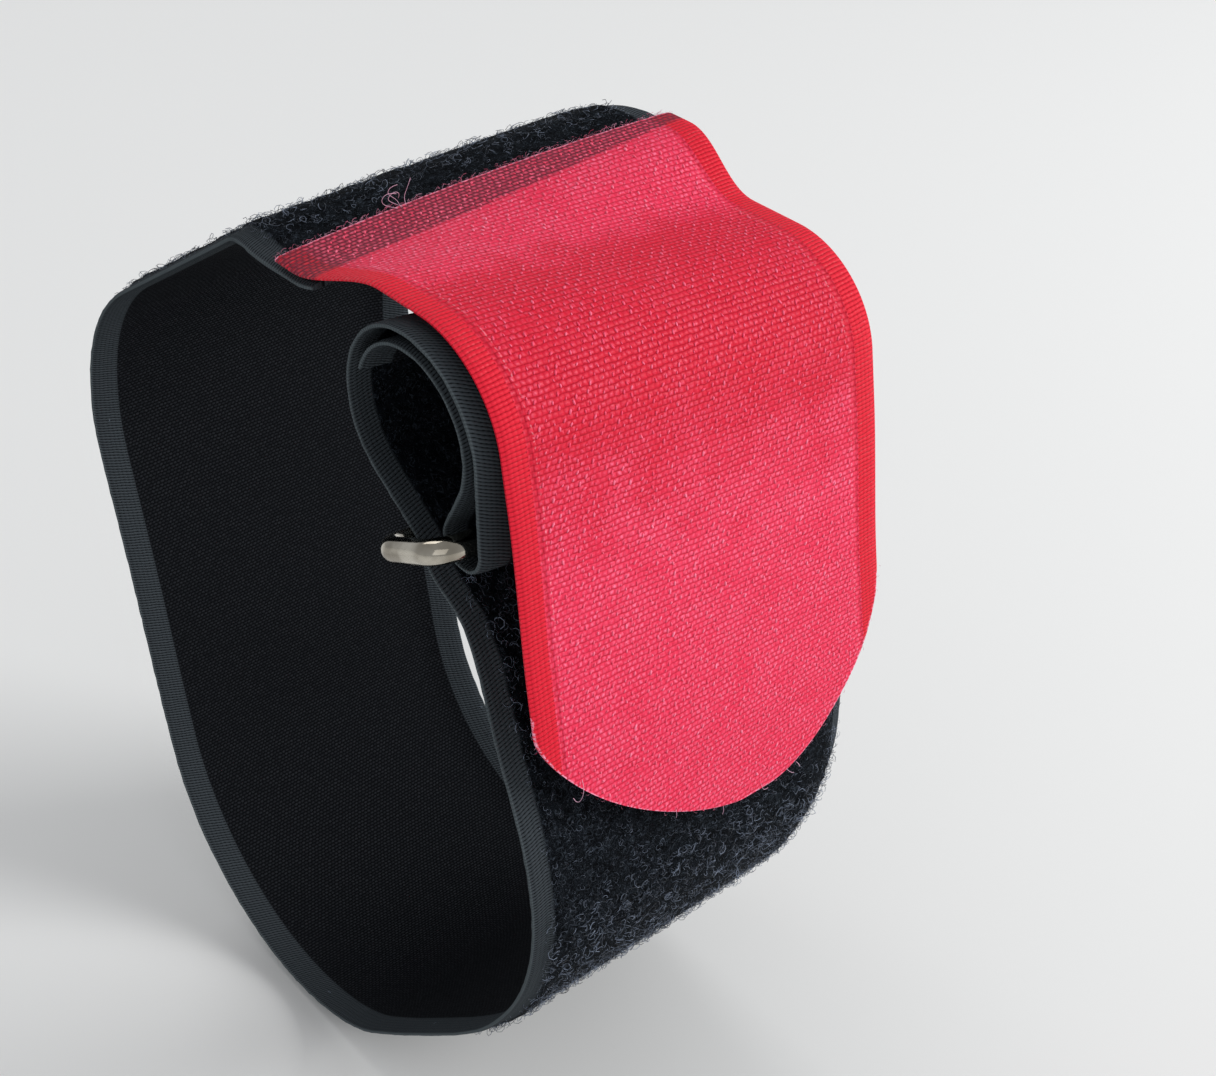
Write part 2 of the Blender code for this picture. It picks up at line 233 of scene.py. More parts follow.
def tipEdges(s):
    def halfWidth(full, run, blunt):
        part = np.clip((s - tab["length"] + run) / run, 0, 1)
        return tab["tipEnd"] + (full - tab["tipEnd"]) * (1 - part ** blunt) ** (1 / blunt)
    return (tab["peak"] - halfWidth(half + tab["peak"], tab["tipLeft"], tab["leftBlunt"]),
            tab["peak"] + halfWidth(half - tab["peak"], tab["tipRight"], tab["rightBlunt"]))


tipStart = tab["length"] - max(tab["tipLeft"], tab["tipRight"])


def tabDrift(s):
    return tab["drift"] * ramp(s, tab["length"] / 2, tipStart)


def softNoise(x, y, cell, seed):
    # smooth random field from -1 to 1 with features of about one cell
    size = 97
    lattice = np.random.default_rng(seed).uniform(-1, 1, (size, size))
    gx, gy = np.asarray(x) / cell % size, np.asarray(y) / cell % size
    ix, iy = gx.astype(int) % size, gy.astype(int) % size
    nextX, nextY = (ix + 1) % size, (iy + 1) % size
    fx, fy = ramp(gx - ix, 0, 1), ramp(gy - iy, 0, 1)
    low = lattice[ix, iy] * (1 - fx) + lattice[nextX, iy] * fx
    high = lattice[ix, nextY] * (1 - fx) + lattice[nextX, nextY] * fx
    return low * (1 - fy) + high * fy


def deselect():
    for other in bpy.context.selected_objects:
        other.select_set(False)


def editAll():
    bpy.ops.object.mode_set(mode="EDIT")
    bpy.ops.mesh.select_all(action="SELECT")


def closeMesh(mergeWithin=None):
    # the active mesh with its doubles merged and its faces turned outward
    editAll()
    if mergeWithin:
        bpy.ops.mesh.remove_doubles(threshold=mergeWithin)
    bpy.ops.mesh.normals_make_consistent(inside=False)
    bpy.ops.object.mode_set(mode="OBJECT")


def takeMesh(made):
    # vertices and faces of a model, which is then removed
    verts = np.array([v.co[:] for v in made.data.vertices])
    faces = [tuple(face.vertices) for face in made.data.polygons]
    bpy.data.objects.remove(made)
    return verts, faces


def meshFromCurve(curve, place=(0, 0, 0), turn=(0, 0, 0)):
    deselect()
    made = bpy.data.objects.new(curve.name, curve)
    scene.collection.objects.link(made)
    made.location, made.rotation_euler = place, turn
    bpy.context.view_layer.objects.active = made
    made.select_set(True)
    bpy.ops.object.convert(target="MESH")
    return bpy.context.object


# Material helpers
def node(tree, kind, settings=None, sockets=None):
    made = tree.nodes.new("ShaderNode" + kind)
    for name, value in (settings or {}).items():
        setattr(made, name, value)
    for name, value in (sockets or {}).items():
        if isinstance(value, bpy.types.NodeSocket):
            tree.links.new(value, made.inputs[name])
        else:
            made.inputs[name].default_value = value
    return made


def link(kind, settings, sockets):
    # a node in the tree that its given sockets belong to
    tree = next(value.id_data for value in sockets.values() if isinstance(value, bpy.types.NodeSocket))
    return node(tree, kind, settings, sockets).outputs


def calc(operation, *values):
    return link("Math", {"operation": operation}, dict(enumerate(values)))[0]


def plus(first, second):
    return calc("ADD", first, second)


def minus(first, second):
    return calc("SUBTRACT", first, second)


def times(first, second):
    return calc("MULTIPLY", first, second)


def positive(value):
    return calc("ABSOLUTE", value)


def wave(value):
    # 0 at whole numbers, 1 half way between them
    return positive(calc("SINE", times(value, math.pi)))


def flatPlace(across, along):
    return link("CombineXYZ", None, {"X": across, "Y": along})[0]


def noise(place, scale, detail, dimensions="2D"):
    return link("TexNoise", {"noise_dimensions": dimensions}, {"Vector": place, "Scale": scale, "Detail": detail})


def blend(amount, first, second):
    return link("Mix", None, {0: amount, 2: first, 3: second})[0]


def blendColour(amount, first, second):
    return link("Mix", {"data_type": "RGBA"}, {0: amount, 6: first, 7: second})[2]


def fade(value, low, high):
    # 0 at low, 1 at high
    return link("MapRange", {"interpolation_type": "SMOOTHSTEP"},
                {"Value": value, "From Min": low, "From Max": high})[0]


def newGroup(name, inputs, outputs):
    tree = bpy.data.node_groups.new(name, "ShaderNodeTree")
    for title in inputs:
        tree.interface.new_socket(title, in_out="INPUT", socket_type="NodeSocketFloat")
    for title in outputs:
        tree.interface.new_socket(title, in_out="OUTPUT", socket_type="NodeSocketFloat")
    return tree, tree.nodes.new("NodeGroupInput").outputs, tree.nodes.new("NodeGroupOutput").inputs


def useGroup(group, across, along, others):
    return link("Group", {"node_tree": group}, {"Across": across, "Along": along, **others})


def newMaterial(name, sockets):
    material = bpy.data.materials.new(name)
    material.use_nodes = True
    tree = material.node_tree
    shader = tree.nodes["Principled BSDF"]
    for title, value in sockets.items():
        shader.inputs[title].default_value = value
    return material, tree, shader


def giveRelief(tree, shader, height, distance):
    bump = link("Bump", None, {"Height": height, "Distance": distance, "Strength": 1.0})
    tree.links.new(bump[0], shader.inputs["Normal"])


weaveLook = {"wanderScale": 0.75, "rowWander": 0.45, "columnWander": 0.6, "rowSlip": 0.2}


def makeWeaveGroup():
    # weft rows packed in grains between the warp threads, every second row half a grain along
    tree, given, out = newGroup("wovenThreads", ["Across", "Along", "Column", "Row"], ["Height", "Grain", "Valley"])
    place = flatPlace(given["Across"], given["Along"])
    wander = noise(place, weaveLook["wanderScale"], 2.0)["Color"]
    aside = link("SeparateColor", None, {0: wander})
    row = calc("DIVIDE", given["Along"], given["Row"])
    row = plus(row, times(aside[0], weaveLook["rowWander"]))
    whole = calc("FLOOR", row)
    slip = link("TexWhiteNoise", {"noise_dimensions": "1D"}, {"W": whole})["Value"]
    slip = plus(times(calc("MODULO", whole, 2.0), 0.5), times(slip, weaveLook["rowSlip"]))
    column = plus(calc("DIVIDE", given["Across"], given["Column"]), slip)
    column = plus(column, times(aside[1], weaveLook["columnWander"]))
    rib, warp = wave(row), wave(column)
    cell = flatPlace(calc("FLOOR", column), whole)
    chance = link("TexWhiteNoise", {"noise_dimensions": "2D"}, {"Vector": cell})["Value"]
    grain = times(times(rib, warp), plus(times(chance, 0.55), 0.45))
    height = plus(times(rib, 0.7), times(warp, 0.25))
    tree.links.new(plus(height, times(grain, 0.2)), out["Height"])
    tree.links.new(grain, out["Grain"])
    warpGap = times(fade(warp, 0.45, 0.0), times(chance, 0.75))
    gaps = calc("MAXIMUM", fade(rib, 0.62, 0.05), warpGap)
    gaps = times(gaps, plus(times(chance, 0.65), 0.35))
    tree.links.new(gaps, out["Valley"])
    return tree


ribLook = {"wanderScale": 0.6, "wander": 0.5, "strandWidth": 0.6, "strand": 0.25}


def makeRibGroup():
    # ribs of a selvedge, slightly uneven
    tree, given, out = newGroup("selvedgeRibs", ["Across", "Along", "Pitch"], ["Height"])
    wander = noise(flatPlace(given["Across"], given["Along"]), ribLook["wanderScale"], 2.0)[0]
    along = plus(calc("DIVIDE", given["Along"], given["Pitch"]), times(wander, ribLook["wander"]))
    strand = calc("DIVIDE", given["Across"], ribLook["strandWidth"])
    height = plus(wave(along), times(wave(strand), ribLook["strand"]))
    tree.links.new(height, out["Height"])
    return tree


curlLook = {"seeds": (0.0, 37.0), "detail": 1.5, "distortion": 1.2, "lineWidth": 0.035, "tuftScale": 0.7}


def makeCurlGroup():
    # thin curly lines, like fibres lying in a pile, and the tufts they gather in
    tree, given, out = newGroup("curlyFibres", ["Across", "Along", "Scale"], ["Line", "Tuft"])
    place = flatPlace(given["Across"], given["Along"])
    lines = []
    for seed in curlLook["seeds"]:
        moved = link("VectorMath", {"operation": "ADD"}, {0: place, 1: (seed, seed, 0)})[0]
        field = link("TexNoise", {"noise_dimensions": "2D"},
                     {"Vector": moved, "Scale": given["Scale"], "Detail": curlLook["detail"],
                      "Distortion": curlLook["distortion"]})[0]
        away = positive(minus(field, 0.5))
        lines.append(fade(away, curlLook["lineWidth"], 0.0))
    tree.links.new(calc("MAXIMUM", *lines), out["Line"])
    tree.links.new(noise(place, curlLook["tuftScale"], 3.0)[0], out["Tuft"])
    return tree


weaveGroup, ribGroup, curlGroup = makeWeaveGroup(), makeRibGroup(), makeCurlGroup()


def flatCoordinates(tree):
    flat = node(tree, "Attribute", {"attribute_name": "flat"}).outputs["Vector"]
    split = link("SeparateXYZ", None, {0: flat})
    return split[0], split[1], split[2]


# Red hook tape, seen from its smooth woven back
redLook = {"ground": (0.80, 0.028, 0.082, 1), "valley": (0.50, 0.005, 0.022, 1), "grain": (0.96, 0.18, 0.31, 1),
           "paintedShade": (0.66, 0.010, 0.034, 1), "fold": (13.0, 21.0), "paintedShadeEnd": (37.0, 58.0),
           "selvedge": (0.74, 0.014, 0.036, 1), "selvedgeGap": (0.47, 0.003, 0.013, 1),
           "weld": (0.17, 0.020, 0.042, 1), "weldDark": (0.030, 0.006, 0.012, 1), "cut": (0.90, 0.34, 0.48, 1),
           "filament": (0.95, 0.42, 0.50, 1), "selvedgeWidth": 2.9, "column": 0.70, "row": 0.65,
           "slope": 0.057, "slopeRun": (6.0, 30.0), "ribPitch": 0.50, "ribSlope": 0.10, "rootColumn": 1.4,
           "patchScale": 0.22, "patches": 0.38, "speckleScale": 2.6, "speckle": 0.85, "uneven": 12.0,
           "weldBow": 1.1, "weldRagged": 0.9, "seamIn": 0.35, "filamentIn": 1.0, "relief": 0.12}


def makeRedMaterial():
    material, tree, shader = newMaterial("redHookTape", {"Specular IOR Level": 0.12})
    across, along, _ = flatCoordinates(tree)
    weave = useGroup(weaveGroup, across, along, {"Column": redLook["column"], "Row": redLook["row"]})
    askew = plus(along, times(across, redLook["ribSlope"]))
    ribs = useGroup(ribGroup, across, askew, {"Pitch": redLook["ribPitch"]})["Height"]
    place = flatPlace(across, along)
    patches = noise(place, redLook["patchScale"], 3.0)[0]
    speckle = noise(place, redLook["speckleScale"], 3.0)[0]
    pink = plus(times(fade(patches, 0.25, 0.78), redLook["patches"]),
                times(fade(speckle, 0.38, 0.7), redLook["speckle"]))
    # painted shade: darker, deeper red with fewer pink grains and deeper valleys between the fold and a stretch lower
    # down the front, its edges made uneven
    uneven = plus(along, times(minus(patches, 0.5), redLook["uneven"]))
    paintedShade = times(fade(uneven, *redLook["fold"]), fade(uneven, *reversed(redLook["paintedShadeEnd"])))
    pink = times(pink, minus(1.0, times(paintedShade, 0.6)))
    field = blendColour(paintedShade, redLook["ground"], redLook["paintedShade"])
    field = blendColour(times(weave["Grain"], pink), field, redLook["grain"])
    sunk = times(weave["Valley"], plus(times(paintedShade, 0.5), 0.8))
    field = blendColour(sunk, field, redLook["valley"])
    # black tape shows through where the two are welded, up to its slanted end
    weldEnd = plus(times(across, -tab["endSlant"] / tape["width"]),
                   tab["weldLap"] - tab["endSlant"] / 2 + 0.1)
    fromMiddle = calc("DIVIDE", minus(across, lie["archMiddle"]), lie["archReach"])
    bow = times(calc("POWER", fromMiddle, 2.0), redLook["weldBow"])
    weldEnd = minus(plus(weldEnd, redLook["weldBow"]), bow)
    weldEnd = plus(weldEnd, times(speckle, redLook["weldRagged"]))
    weld = fade(minus(along, weldEnd), 0.35, -0.35)
    welded = blendColour(weave["Valley"], redLook["weld"], redLook["weldDark"])
    weldTint = times(weld, minus(0.96, times(weave["Grain"], 0.9)))
    borderAt = half - redLook["selvedgeWidth"]
    fromBorder = minus(positive(across), borderAt)
    border = fade(fromBorder, -0.15, 0.15)
    edge = blendColour(fade(ribs, 0.75, 0.1), redLook["selvedge"], redLook["selvedgeGap"])
    colour = blendColour(border, field, edge)
    seam = fade(positive(plus(fromBorder, redLook["seamIn"])), 0.38, 0.1)
    colour = blendColour(times(seam, fade(speckle, 0.3, 0.8)), colour, redLook["valley"])
    shown = times(fade(speckle, 0.48, 0.7), 0.45)
    filament = fade(positive(plus(fromBorder, redLook["filamentIn"])), 0.13, 0.04)
    colour = blendColour(times(filament, shown), colour, redLook["filament"])
    colour = blendColour(weldTint, colour, welded)
    rim = node(tree, "Attribute", {"attribute_name": "rim"}).outputs["Fac"]
    cut = times(fade(rim, 0.28, 0.04), fade(speckle, 0.4, 0.6))
    colour = blendColour(cut, colour, redLook["cut"])
    tree.links.new(colour, shader.inputs["Base Color"])
    height = blend(border, weave["Height"], times(ribs, 0.85))
    height = minus(height, times(seam, 0.5))
    giveRelief(tree, shader, height, redLook["relief"] * mm)
    gloss = minus(0.62, times(weave["Grain"], 0.3))
    tree.links.new(gloss, shader.inputs["Roughness"])
    return material


# Pile of the loop tape: curls standing on a low mound
pile = {"perSquareMm": 2.30, "thinned": 0.26, "thick": 0.062, "radius": 0.52, "lean": (30.0, 84.0),
        "size": (0.62, 1.2), "spread": 1.0, "over": 1.6, "overTurned": 3.3, "overEarly": 7.0, "rooted": 0.34,
        "thinnedFrom": 45.0, "seen": 1.6, "seenOpen": 3.0, "openTo": (32.0, 8.0), "shade": (0.9, 2.0),
        # sweep in degrees, sideways drift and steps of each kind of curl, and the share of each
        "kinds": ((200, 0.35, 4), (255, 0.25, 5), (310, 0.45, 6), (170, 0.6, 3)), "shares": (0.3, 0.3, 0.15, 0.25),
        "zones": {"pile_front": 0.0, "pile_bottom": 0.24, "pile_back": 0.45, "pile_shoulder": 0.64, "pile_top": 0.82}}

# Black loop tape: selvedges and back woven, the field covered by the root of the pile
blackLook = {"ground": (0.0048, 0.0054, 0.0068, 1), "valley": (0.0015, 0.0016, 0.0020, 1),
             "grain": (0.022, 0.024, 0.028, 1), "rib": (0.050, 0.059, 0.067, 1), "paintedEdgeHighlight": (0.10, 0.12, 0.13, 1),
             "pile": (0.0012, 0.0016, 0.0024, 1), "tuft": (0.0045, 0.0058, 0.0080, 1),
             "line": (0.045, 0.056, 0.072, 1), "column": 0.6, "row": 0.48, "ribPitch": 0.42, "ribSlope": 0.35,
             "curlScale": 1.3, "relief": 0.15}


def makeBlackMaterial():
    material, tree, shader = newMaterial("blackLoopTape", {"Roughness": 0.7, "Specular IOR Level": 0.02})
    across, along, layer = flatCoordinates(tree)
    weave = useGroup(weaveGroup, across, along, {"Column": blackLook["column"], "Row": blackLook["row"]})
    askew = plus(along, times(across, blackLook["ribSlope"]))
    ribs = useGroup(ribGroup, across, askew, {"Pitch": blackLook["ribPitch"]})["Height"]
    curls = useGroup(curlGroup, across, along, {"Scale": blackLook["curlScale"]})
    ground = blendColour(weave["Valley"], blackLook["ground"], blackLook["valley"])
    ground = blendColour(weave["Grain"], ground, blackLook["grain"])
    edge = blendColour(fade(ribs, 0.75, 0.1), blackLook["rib"], blackLook["valley"])
    curled = blendColour(fade(curls["Tuft"], 0.35, 0.7), blackLook["pile"], blackLook["tuft"])
    curled = blendColour(times(curls["Line"], 0.7), curled, blackLook["line"])
    fromMiddle = positive(across)
    border = fade(fromMiddle, fieldEdge - 0.2, fieldEdge + 0.1)
    # painted highlight: a lighter line along the very edge of each selvedge
    paintedEdgeHighlight = fade(fromMiddle, half - 0.22, half - 0.05)
    edge = blendColour(times(paintedEdgeHighlight, 0.7), edge, blackLook["paintedEdgeHighlight"])
    # the pile spreads over the inner part of the selvedges
    pileEdge = fieldEdge + pile["spread"]
    inField = times(fade(fromMiddle, pileEdge + 0.3, pileEdge - 0.2), fade(layer, 0.4, 0.6))
    colour = blendColour(inField, blendColour(border, ground, edge), curled)
    tree.links.new(colour, shader.inputs["Base Color"])
    woven = blend(border, weave["Height"], ribs)
    fuzz = plus(times(curls["Line"], 0.9), times(curls["Tuft"], 1.6))
    giveRelief(tree, shader, blend(inField, woven, fuzz), blackLook["relief"] * mm)
    return material


def makeFibreMaterial(name, dark, light, roughness, specular):
    # each fibre has its own shade, kept in the mesh
    material, tree, shader = newMaterial(name, {"Specular IOR Level": specular})
    shade = node(tree, "Attribute", {"attribute_name": "shade"}).outputs["Fac"]
    tree.links.new(blendColour(shade, dark, light), shader.inputs["Base Color"])
    dust = noise(node(tree, "TexCoord").outputs["Object"], 900.0, 2.0, "3D")[0]
    tree.links.new(plus(times(dust, 0.3), roughness - 0.15), shader.inputs["Roughness"])
    return material


nickelLook = {"paintedDarkReflection": (0.30, 0.27, 0.22, 1), "paintedBrightReflection": (0.62, 0.58, 0.50, 1), "cloudScale": 160.0,
              "scratchScale": 2600.0, "relief": 0.006}


def makeNickelMaterial():
    material, tree, shader = newMaterial("nickelPlatedSteel", {"Metallic": 1.0})
    place = node(tree, "TexCoord").outputs["Object"]
    cloud = noise(place, nickelLook["cloudScale"], 4.0, "3D")[0]
    scratch = noise(place, nickelLook["scratchScale"], 3.0, "3D")[0]
    # painted reflections: the colour mottled between dark and bright stands in for dark and bright surroundings
    # mirrored in the nickel
    colour = blendColour(fade(cloud, 0.35, 0.6), nickelLook["paintedDarkReflection"], nickelLook["paintedBrightReflection"])
    tree.links.new(colour, shader.inputs["Base Color"])
    rough = plus(0.07, times(fade(cloud, 0.4, 0.75), 0.14))
    tree.links.new(plus(rough, times(scratch, 0.05)), shader.inputs["Roughness"])
    giveRelief(tree, shader, scratch, nickelLook["relief"] * mm)
    return material


redMaterial, blackMaterial, nickelMaterial = makeRedMaterial(), makeBlackMaterial(), makeNickelMaterial()

# dark and light shade, roughness and specular level of each kind of fibre
# the light shade of the black pile fibres is painted sheen on black fibres, beside their random tone
fibreLooks = {"blackPileFibre": ((0.005, 0.008, 0.014, 1), (0.30, 0.36, 0.48, 1), 0.38, 0.4),
              "frayedFibre": ((0.50, 0.02, 0.09, 1), (0.80, 0.50, 0.66, 1), 0.50, 0.4),
              "rootFloat": ((0.80, 0.030, 0.090, 1), (0.96, 0.24, 0.37, 1), 0.42, 0.2),
              "redHookFilament": ((0.55, 0.02, 0.04, 1), (0.80, 0.08, 0.12, 1), 0.40, 0.4)}
pileMaterial, frayMaterial, rootMaterial, hookMaterial = (makeFibreMaterial(name, *look)
                                                          for name, look in fibreLooks.items())
print("materials made")


def flatTape(name, columns, rows):
    # a flat grid, given its thickness by extruding it in edit mode
    deselect()
    bpy.ops.mesh.primitive_grid_add(x_subdivisions=columns, y_subdivisions=rows, size=1.0, location=(0, 0, 0))
    made = bpy.context.object
    made.name = name
    editAll()
    bpy.ops.mesh.extrude_region_move(TRANSFORM_OT_translate={"value": (0, 0, 1)})
    bpy.ops.object.mode_set(mode="OBJECT")
    co = np.empty(len(made.data.vertices) * 3)
    made.data.vertices.foreach_get("co", co)
    co = co.reshape(-1, 3)
    return made, (np.rint((co[:, 0] + 0.5) * columns).astype(int), np.rint((co[:, 1] + 0.5) * rows).astype(int),
                  co[:, 2] > 0.5)


def finishTape(made, places, flat, rim, material):
    made.data.vertices.foreach_set("co", places.ravel())
    made.data.attributes.new("flat", "FLOAT_VECTOR", "POINT").data.foreach_set("vector", flat.ravel())
    made.data.attributes.new("rim", "FLOAT", "POINT").data.foreach_set("value", rim)
    closeMesh()
    bpy.ops.object.shade_smooth_by_angle(angle=math.radians(50))
    made.data.materials.append(material)
    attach(made, "tie")


def columnPlaces(count):
    # columns across a tape, closer together at its edges and at the inner edge of its selvedges
    outer = [-half + step for step in (0, 0.12, 0.4, 1.1, 2.0, 2.9)]
    outer += [-fieldEdge + step for step in (-0.25, 0.1, 0.5, 1.0)]
    inner = list(np.linspace(-fieldEdge + 1.6, fieldEdge - 1.6, count))
    return np.array(outer + inner + [-x for x in reversed(outer)])


loopSheet = {"columns": 36, "bend": 0.14, "rowsPerMm": (0.9, 2.2), "wobble": 0.06, "wobbleLong": 0.7,
             "mound": 0.38, "moundUneven": 0.35, "moundLong": 1.1, "rounding": 0.22}


def makeLoopTape():
    acrossAt = columnPlaces(loopSheet["columns"])
    # rows are closer together in tight bends
    tiny = np.arange(len(strapRoute["s"])) * 1e-9
    curve = np.nan_to_num(abs(np.gradient(strapRoute["heading"], strapRoute["s"] + tiny)), nan=0, posinf=0)
    density = np.clip(curve / loopSheet["bend"], *loopSheet["rowsPerMm"])
    tally = np.concatenate([[0], np.cumsum((density[1:] + density[:-1]) / 2 * np.diff(strapRoute["s"]))])
    rows = round(tally[-1])
    made, (column, row, face) = flatTape("loop_tape", len(acrossAt) - 1, rows)
    x = acrossAt[column]
    along = np.interp(np.linspace(0, tally[-1], rows + 1), tally, strapRoute["s"])[row]
    s = along - strapSlant(x, along)
    x = x + loopSheet["wobble"] * softNoise(s, face * 5, loopSheet["wobbleLong"], 3) * (abs(x) > half - 0.2)
    border = fieldEdge + pile["over"]
    mound = loopSheet["mound"] * pileHeight(s) * ramp(-abs(x), -border - 0.1, -border + 0.9)
    mound = mound * (1 + loopSheet["moundUneven"] * softNoise(x, s, loopSheet["moundLong"], 11))
    rounding = loopSheet["rounding"] * ramp(abs(x), half - 0.6, half)
    height = np.where(face, halfLoop - rounding + mound, -halfLoop + rounding * 0.8)
    height = height - edgeCurl(x, s) + underSag(x, s)
    places = layTape(strapRoute, -1, x + strapShift(s), s, height)
    flat = np.stack([x, s, face.astype(float)], -1)
    finishTape(made, places, flat, np.minimum(s, strapLength - s), blackMaterial)
    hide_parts("loop_strap")
    return made


hookSheet = {"columns": 42, "rowStep": 0.6, "tipRows": 60, "frayed": 0.10, "rounding": 0.18}


def makeHookTape():
    acrossAt = columnPlaces(hookSheet["columns"])
    tipRun = tab["length"] - tipStart
    alongAt = np.linspace(0, tipStart, round(tipStart / hookSheet["rowStep"]), endpoint=False)
    quarter = np.linspace(0, math.pi / 2, hookSheet["tipRows"] + 1)
    alongAt = np.concatenate([alongAt, tab["length"] - tipRun * (1 - np.sin(quarter))])
    made, (column, row, face) = flatTape("hook_tape", len(acrossAt) - 1, len(alongAt) - 1)
    s = alongAt[row]
    left, right = tipEdges(s)
    # columns keep their place across the tape and end at the cut
    x = np.clip(acrossAt[column], left, right)
    share = (acrossAt[column] + half) / tape["width"]
    squeeze = ramp(s, tipStart, tab["length"])
    x = x * (1 - squeeze) + (left + (right - left) * share) * squeeze
    cutNoise = softNoise(x * 3 + s, face * 3, 0.5, 5)
    # distance from the cut, which the sides belong to only at the tip
    cutEdge = np.minimum(np.minimum(x - left, right - x) + 9 * (s < tipStart + 1), np.minimum(s, tab["length"] - s))
    sFrayed = s + hookSheet["frayed"] * cutNoise * ramp(-s, -0.3, 0.0)
    rounding = hookSheet["rounding"] * ramp(abs(x), half - 0.6, half)
    height = np.where(face, -halfHook + rounding, halfHook - rounding * 0.5)
    places = layTape(tabRoute, 1, x + tabDrift(s), sFrayed, height)
    flat = np.stack([x, s + weaveSlope(x, s), face.astype(float)], -1)
    finishTape(made, places, flat, cutEdge, redMaterial)
    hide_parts("hook_tab")
    return made


loopTape = makeLoopTape()
hookTape = makeHookTape()
print("tapes laid")


# Fibres: each kind is modelled once and copied in many places
def makeCurl(radius, thick, sweep, drift, steps):
    # a small ring profile spun part of the way round, closed at both ends
    deselect()
    bpy.ops.mesh.primitive_circle_add(vertices=3, radius=thick / 2, fill_type="NGON", location=(radius, 0, 0),
                                      rotation=(math.pi / 2, 0, 0))
    made = bpy.context.object
    bpy.ops.object.transform_apply(location=True, rotation=True, scale=True)
    editAll()
    bpy.ops.mesh.spin(steps=steps, angle=sweep, center=(0, 0, 0), axis=(0, 0, 1))
    bpy.ops.object.mode_set(mode="OBJECT")
    closeMesh()
    verts, faces = takeMesh(made)
    turn = (np.arctan2(verts[:, 1], verts[:, 0]) + 0.01) % (2 * math.pi) - 0.01
    # upright: the middle of the sweep points up, and both ends start at the ground
    begin = (sweep - math.pi) / 2
    up = -math.sin(begin) * verts[:, 0] + math.cos(begin) * verts[:, 1] + radius * math.sin(max(begin, 0))
    side = math.cos(begin) * verts[:, 0] + math.sin(begin) * verts[:, 1]
    placed = np.stack([side, verts[:, 2] + drift * (turn / sweep - 0.5), up], -1)
    # standing the plane up mirrors it, so the faces turn round
    return placed, [face[::-1] for face in faces]


def scatter(name, kinds, spots, material):
    # spots: kind, place, right, forward, up, size and shade of each copy
    allVerts, allFaces, shades, count = [], [], [], 0
    for kind, (verts, faces) in enumerate(kinds):
        these = {key: values[spots["kind"] == kind] for key, values in spots.items()}
        n = len(these["size"])
        local = verts[None] * these["size"][:, None, None]
        placed = these["place"][:, None]
        for axis, key in enumerate(("right", "forward", "up")):
            placed = placed + local[..., axis:axis + 1] * these[key][:, None]
        allVerts.append(placed.reshape(-1, 3))
        starts = count + np.arange(n) * len(verts)
        for face in faces:
            allFaces += (starts[:, None] + np.array(face)[None]).tolist()
        shades.append(np.repeat(these["shade"], len(verts)))
        count += n * len(verts)
    mesh = bpy.data.meshes.new(name)
    mesh.from_pydata(np.concatenate(allVerts).tolist(), [], allFaces)
    shades = np.concatenate(shades).astype(np.float32)
    mesh.attributes.new("shade", "FLOAT", "POINT").data.foreach_set("value", shades)
    mesh.polygons.foreach_set("use_smooth", [True] * len(mesh.polygons))
    mesh.materials.append(material)
    made = bpy.data.objects.new(name, mesh)
    scene.collection.objects.link(made)
    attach(made, "tie")
    return made


def unit(vectors):
    return vectors / np.linalg.norm(vectors, axis=1)[:, None]


def tapeAxes(route, side, x, s, height, shift):
    # place on the tape, and its directions across, along and up from its middle
    place = layTape(route, side, x + shift(s), s, height)
    across = unit(layTape(route, side, x + shift(s) + 0.2, s, height) - place)
    along = unit(layTape(route, side, x + shift(s), s + 0.2, height) - place)
    return place, across, along, side * unit(np.cross(across, along))


def standOn(across, along, out, yaw, lean):
    # axes of a fibre turned by yaw on the tape and leaning sideways
    yaw, lean = yaw[:, None], lean[:, None]
    right = across * np.cos(yaw) + along * np.sin(yaw)
    aside = unit(np.cross(out, right))
    up = out * np.cos(lean) + aside * np.sin(lean)
    return right, unit(np.cross(up, right)), up


